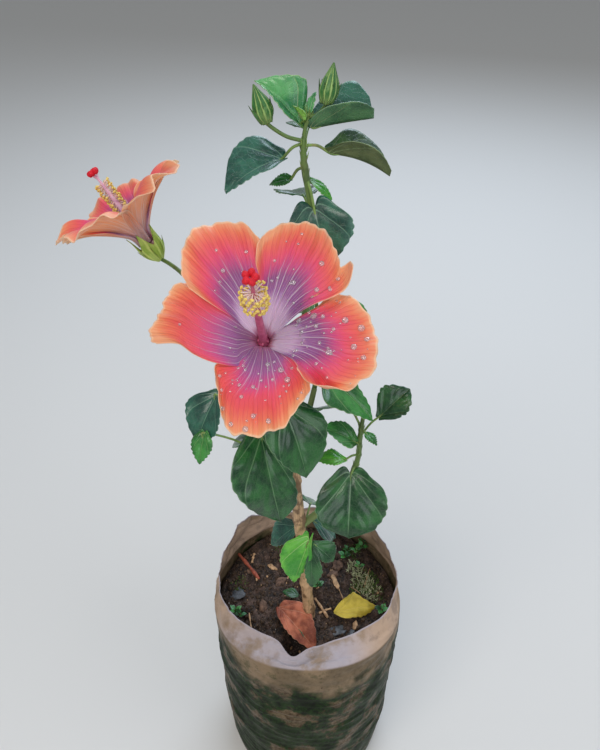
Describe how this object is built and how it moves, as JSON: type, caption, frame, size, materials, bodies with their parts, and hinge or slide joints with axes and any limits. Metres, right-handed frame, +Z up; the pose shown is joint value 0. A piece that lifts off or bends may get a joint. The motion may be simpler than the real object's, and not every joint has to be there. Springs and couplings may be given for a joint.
{
  "type": "potted hibiscus shrub",
  "caption": "Young hibiscus shrub with large ruffled orange, pink and mauve blooms, buds and glossy leaves, standing in a soil-filled film grow bag.",
  "frame": {"origin": "middle of the grow bag's flat underside", "axes": "+Z up along the bag and the main stem, +X to the right and +Y away as the plant is seen from its front, where the large bloom faces"},
  "size_m": [0.287, 0.2656, 0.8112],
  "materials": {
    "film": "translucent beige polyethylene film, stained green with algae below its clean top band",
    "soil": "moist dark brown potting soil with bark chips and moss",
    "bark": "smooth tan young bark with leaf scars",
    "green_wood": "green-brown young wood",
    "leaf": "glossy dark green leaf with pale veins",
    "petal": "satin petal, peach-orange at its edge through hot pink to mauve and pale lavender at the throat"
  },
  "bodies": {
    "root": {"grow_bag": "film", "soil": "soil", "main_stem": "bark", "left_bough": "green_wood", "right_bough": "green_wood", "back_bough": "green_wood", "top_foliage": "leaf", "left_foliage": "leaf", "right_foliage": "leaf", "low_foliage": "leaf", "low_back_foliage": "leaf", "back_foliage": "leaf", "left_spray": "petal", "centre_bloom": "petal"}
  },
  "joints": []
}
